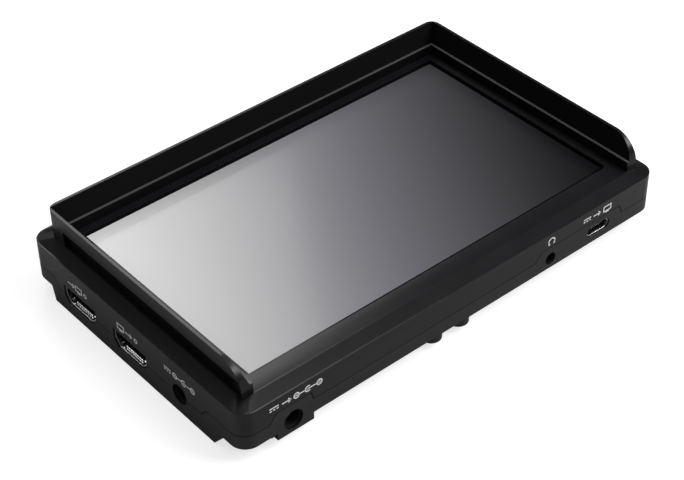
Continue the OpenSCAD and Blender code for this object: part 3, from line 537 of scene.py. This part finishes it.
def polarity(x):
    """Centre-positive sign of a barrel jack: minus, the jack's ring and pin, and plus."""
    pitch, pole_r, jack_r, pin_r, arm = 3.2, 0.7, 0.75, 0.12, 0.35
    jack = x + pitch
    plus = jack + pitch
    return [
        ring_points(x, 0, pole_r), level(x - arm, x + arm), level(x + pole_r, jack - jack_r),
        ring_points(jack, 0, jack_r, start=45, turn=270), ring_points(jack, 0, pin_r),
        ring_points(plus, 0, pole_r), level(plus - arm, plus + arm), [(plus, -arm), (plus, arm)],
        level(jack, plus - pole_r),
    ]


def screen_sign(x):
    """A screen over the line of its foot."""
    width, low, high, inset, foot = 2.5, -0.55, 0.85, 0.6, -0.95
    edge = [(x, low), (x, high), (x + width, high), (x + width, low), (x, low)]
    return [edge, level(x + inset, x + width - inset, foot)]


def headphones():
    """A band over two pads, which are each two lines wide."""
    low = -0.85
    lines = [ring_points(0, 0, 1.05, turn=180, steps=14)]
    for x, high in ((0.95, -0.1), (0.75, -0.2)):
        lines += [[(side * x, low), (side * x, high)] for side in (-1, 1)]
    return lines


SIGNS = {
    "mark_video_in": arrow(-4.2, 2.6) + screen_sign(-1) + [ring_points(2.9, 0, 0.5)],
    "mark_video_out": screen_sign(-4.2) + arrow(-1.2, 2.6) + [ring_points(2.9, 0, 0.5)],
    "mark_power_in": direct_current(-5.2) + polarity(-1.2),
    "mark_power_out": direct_current(-6.4) + arrow(-3, 2.4) + polarity(1),
    "mark_phones": headphones(),
    "mark_usb": direct_current(-5.6) + arrow(-2.2, 2.4) + screen_sign(1.4),
    "mark_menu": [level(-1, 1, y) for y in (-0.7, 0, 0.7)],
    "mark_down": [[(-0.9, 0.5), (0, -0.5), (0.9, 0.5)]],
    "mark_up": [[(-0.9, -0.5), (0, 0.5), (0.9, -0.5)]],
    "mark_exit": [[(-0.7, -0.7), (0.7, 0.7)], [(-0.7, 0.7), (0.7, -0.7)]],
    "mark_switch": [ring_points(0, -0.1, 0.95, start=125, turn=290), [(0, 0.25), (0, 1.15)]],
}

# The socket or key that each sign belongs to, by where it is printed, and its height in mm on the two walls
LEFT_SIGNS = {"mark_video_in": "hdmi_in_socket", "mark_video_out": "hdmi_out_socket",
              "mark_power_in": "dc_in_jack"}
CHIN_SIGNS = {"mark_power_out": "dc_out_jack", "mark_phones": "headphone_jack", "mark_usb": "usb_c_socket"}
KEY_SIGNS = {"mark_menu": "key_menu", "mark_down": "key_down", "mark_up": "key_up", "mark_exit": "key_exit",
             "mark_switch": "key_power"}
LEFT_SIGN_RISE = 12.6
CHIN_SIGN_RISE = 14.7


def stroke_faces(bm, line, place):
    """A flat ribbon along the points of a line, with mitred turns."""
    points = [Vector(p) for p in line]
    ways = [(b - a).normalized() for a, b in zip(points, points[1:])]
    closed = line[0] == line[-1]
    before = [ways[-1] if closed else ways[0]] + ways
    after = ways + [ways[0] if closed else ways[-1]]
    rails = []
    for point, came, goes in zip(points, before, after):
        along = (came + goes).normalized()
        side = Vector((-along.y, along.x)) * STROKE / 2 / max(LEAST_MITRE, along.dot(came))
        rails.append([bm.verts.new(place(point + side * k)) for k in (-1, 1)])
    for a, b in zip(rails, rails[1:]):
        bm.faces.new((a[0], b[0], b[1], a[1]))


def printed(name, origin, across, body="case", scale=SIGN_SCALE):
    """A sign on a wall: across runs to the sign's right, up is +Z, and the ink lies just on the wall."""
    lift = across.cross(UP) * INK_T * MM

    def place(point):
        return origin + (across * point.x + UP * point.y) * scale * MM + lift

    bm = bmesh.new()
    for line in SIGNS[name]:
        stroke_faces(bm, line, place)
    piece = piece_from(bm, name, INK)
    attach(piece, body)


def print_marks():
    """Prints the signs beside the sockets, on the left and chin walls, and those on the keys."""
    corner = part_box("front_shell")[0]
    for name, node in LEFT_SIGNS.items():
        printed(name, Vector((corner.x, middle_of(node).y, LEFT_SIGN_RISE * MM)), Vector((0, -1, 0)))
    for name, node in CHIN_SIGNS.items():
        printed(name, Vector((middle_of(node).x, corner.y, CHIN_SIGN_RISE * MM)), Vector((1, 0, 0)))
    for name, node in KEY_SIGNS.items():
        middle = middle_of(node)
        face = Vector((middle.x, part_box(node)[1].y, middle.z))
        printed(name, face, Vector((-1, 0, 0)), BODY_OF[node], KEY_SIGN_SCALE)


# Rows of contacts in mm. The rise is from the middle of the node that carries them
VIDEO_ROW = {"pitch": 1.0, "width": 0.5, "length": 4.5, "thick": 0.12, "rise": 0.95}
USB_ROW = {"pitch": 0.5, "width": 0.28, "length": 3.2, "thick": 0.08, "rise": 0.38}
CONTACTS = 10
CONTACT_INSET = 0.2
CONTACT_EDGE = 0.03

# Springs on the floor of a video socket in mm: fingers in a row, and a dot above each end of the row. Their
# middles lie in from the socket's mouth, and the heights are from the socket's middle
FINGERS = 8
FINGER_PITCH = 1.0
FINGER_IN = 1.15
FINGER_W = 0.75
FINGER_LOW = -2.15
FINGER_HIGH = -1.78
DOT_OFF = 5.1
DOT_IN = 1.1
DOT_W = 0.55
DOT_H = 0.6
SPRING_DEPTH = 0.3
SPRING_EDGE = 0.06


def bar(bm, middle, size):
    """A box of that size round its middle, in metres."""
    made = bmesh.ops.create_cube(bm, size=1)
    bmesh.ops.scale(bm, vec=size, verts=made["verts"])
    bmesh.ops.translate(bm, vec=middle, verts=made["verts"])


def places_in_row(count, pitch):
    """Places round 0, evenly apart."""
    return [(i - (count - 1) / 2) * pitch for i in range(count)]


def contact_row(name, node, inward, pitch, width, length, thick, rise):
    """A row of gilt contacts on a socket's tongue, each pointing inward from its mouth."""
    bm = bmesh.new()
    along = Vector((inward.y, inward.x, 0))
    middle = middle_of(node)
    mouth = middle + inward * inward.dot(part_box(node)[0] - middle)
    size = inward * length + along * width + UP * thick
    start = inward * (CONTACT_INSET + length / 2) + UP * rise
    for off in places_in_row(CONTACTS, pitch):
        bar(bm, mouth + (start + along * off) * MM, size * MM)
    bmesh.ops.bevel(bm, geom=bm.edges[:], offset=CONTACT_EDGE * MM, segments=1, affect="EDGES")
    piece = piece_from(bm, name, CONTACT)
    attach(piece, "case")


def spring_fingers(name, node):
    """The shell's own springs, which show as a bright row with a dot at each end."""
    bm = bmesh.new()
    middle = middle_of(node)
    mouth = Vector((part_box(node)[0].x, middle.y, middle.z))
    finger_z = (FINGER_LOW + FINGER_HIGH) / 2
    finger_size = Vector((SPRING_DEPTH, FINGER_W, FINGER_HIGH - FINGER_LOW)) * MM
    for y in places_in_row(FINGERS, FINGER_PITCH):
        bar(bm, mouth + Vector((FINGER_IN, y, finger_z)) * MM, finger_size)
    for y in (-DOT_OFF, DOT_OFF):
        bar(bm, mouth + Vector((DOT_IN, y, FINGER_HIGH + DOT_H / 2)) * MM,
            Vector((SPRING_DEPTH, DOT_W, DOT_H)) * MM)
    bmesh.ops.bevel(bm, geom=bm.edges[:], offset=SPRING_EDGE * MM, segments=2, affect="EDGES")
    piece = piece_from(bm, name, LOOKS["bright_steel"])
    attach(piece, "case")


def fill_sockets():
    contact_row("video_in_contacts", "hdmi_in_core", Vector((1, 0, 0)), **VIDEO_ROW)
    contact_row("video_out_contacts", "hdmi_out_core", Vector((1, 0, 0)), **VIDEO_ROW)
    spring_fingers("video_in_springs", "hdmi_in_socket")
    spring_fingers("video_out_springs", "hdmi_out_socket")
    contact_row("usb_c_contacts", "usb_c_tongue", Vector((0, 1, 0)), **USB_ROW)


# Camera at the photograph's viewing angle. Lens and sensor are in mm, and the nearest distance in metres

TARGET = Vector((-10.635, -9.084, 15.097)) * MM
DISTANCE = 484.8 * MM
AZIMUTH = math.radians(-40.033)
ELEVATION = math.radians(39.431)
ROLL = math.radians(-0.88)
LENS = 89.7
SENSOR = 36
NEAREST = 0.01


def make_camera():
    back = Vector((math.sin(AZIMUTH) * math.cos(ELEVATION), -math.cos(AZIMUTH) * math.cos(ELEVATION),
                   math.sin(ELEVATION)))
    level_right = Vector((math.cos(AZIMUTH), math.sin(AZIMUTH), 0))
    level_up = back.cross(level_right)
    right = level_right * math.cos(ROLL) + level_up * math.sin(ROLL)
    up = level_up * math.cos(ROLL) - level_right * math.sin(ROLL)
    data = bpy.data.cameras.new("camera")
    data.lens = LENS
    data.sensor_width = SENSOR
    data.clip_start = NEAREST
    camera = link(bpy.data.objects.new("camera", data))
    turn = Matrix((right, up, back)).transposed()
    camera.matrix_world = Matrix.Translation(TARGET + back * DISTANCE) @ turn.to_4x4()
    bpy.context.scene.camera = camera


# Floor and light. The floor's half width is in metres and its drop below the object in mm, and the lift is
# how much whiter it is to the camera than its own grey under the lamps
FLOOR_HALF = 6
FLOOR_DROP = 0.1
FLOOR_GREY = 0.52
FLOOR_LIFT = 0.72

# Strength of the world as a light. The camera sees it as white
WORLD_LIGHT = 0.13

# Each lamp's name, place, aim, width and height in metres, and its power in watts
LAMPS = [
    ("key_softbox", (0.58, -0.56, 0.74), (0, 0, 0.01), 0.6, 0.6, 9),
    ("top_softbox", (0.1, 0, 1.25), (0, 0, 0), 1.0, 0.8, 4),
    ("back_softbox", (0.32, 0.64, 0.76), (0, 0, 0.02), 0.3, 0.36, 1.8),
    ("left_strip", (-0.52, 0.62, 0.6), (-0.07, 0, 0.02), 0.2, 0.4, 1.1),
]


def make_floor():
    """A grey floor that takes the object's shadow and looks near white to the camera."""
    low = CAD_BOX[0].z - FLOOR_DROP * MM
    corners = [(x * FLOOR_HALF, y * FLOOR_HALF, low) for x, y in ((-1, -1), (1, -1), (1, 1), (-1, 1))]
    mesh = bpy.data.meshes.new("floor")
    mesh.from_pydata(corners, [], [(0, 1, 2, 3)])
    made, tree, shader = new_material("floor_look")
    seen = add(tree, "ShaderNodeLightPath").outputs["Is Camera Ray"]
    feed(tree, shader, {
        "Base Color": (FLOOR_GREY, FLOOR_GREY, FLOOR_GREY, 1),
        "Roughness": 0.9,
        "Specular IOR Level": 0.1,
        "Emission Color": opaque(WHITE),
        "Emission Strength": maths(tree, "MULTIPLY", seen, FLOOR_LIFT),
    })
    mesh.materials.append(made)
    floor = link(bpy.data.objects.new("floor", mesh))


def area_light(name, place, aim, width, height, power):
    data = bpy.data.lights.new(name, "AREA")
    data.shape = "RECTANGLE"
    data.size = width
    data.size_y = height
    data.energy = power
    lamp = link(bpy.data.objects.new(name, data))
    lamp.location = place
    lamp.rotation_euler = (Vector(aim) - Vector(place)).to_track_quat("-Z", "Y").to_euler()


def make_light():
    """The lamps, and a dim world that the camera sees as white."""
    world = bpy.data.worlds.new("studio")
    world.use_nodes = True
    tree = world.node_tree
    seen = add(tree, "ShaderNodeLightPath").outputs["Is Camera Ray"]
    feed(tree, tree.nodes["Background"], {
        "Color": opaque(WHITE),
        "Strength": spread(tree, seen, WORLD_LIGHT, 1),
    })
    bpy.context.scene.world = world
    for lamp in LAMPS:
        area_light(*lamp)
    bpy.context.scene.view_settings.view_transform = "Standard"


skins = dress_nodes()
line_hood(skins["sun_hood"])
coil_lock_spring()
print_marks()
fill_sockets()
make_camera()
make_floor()
make_light()
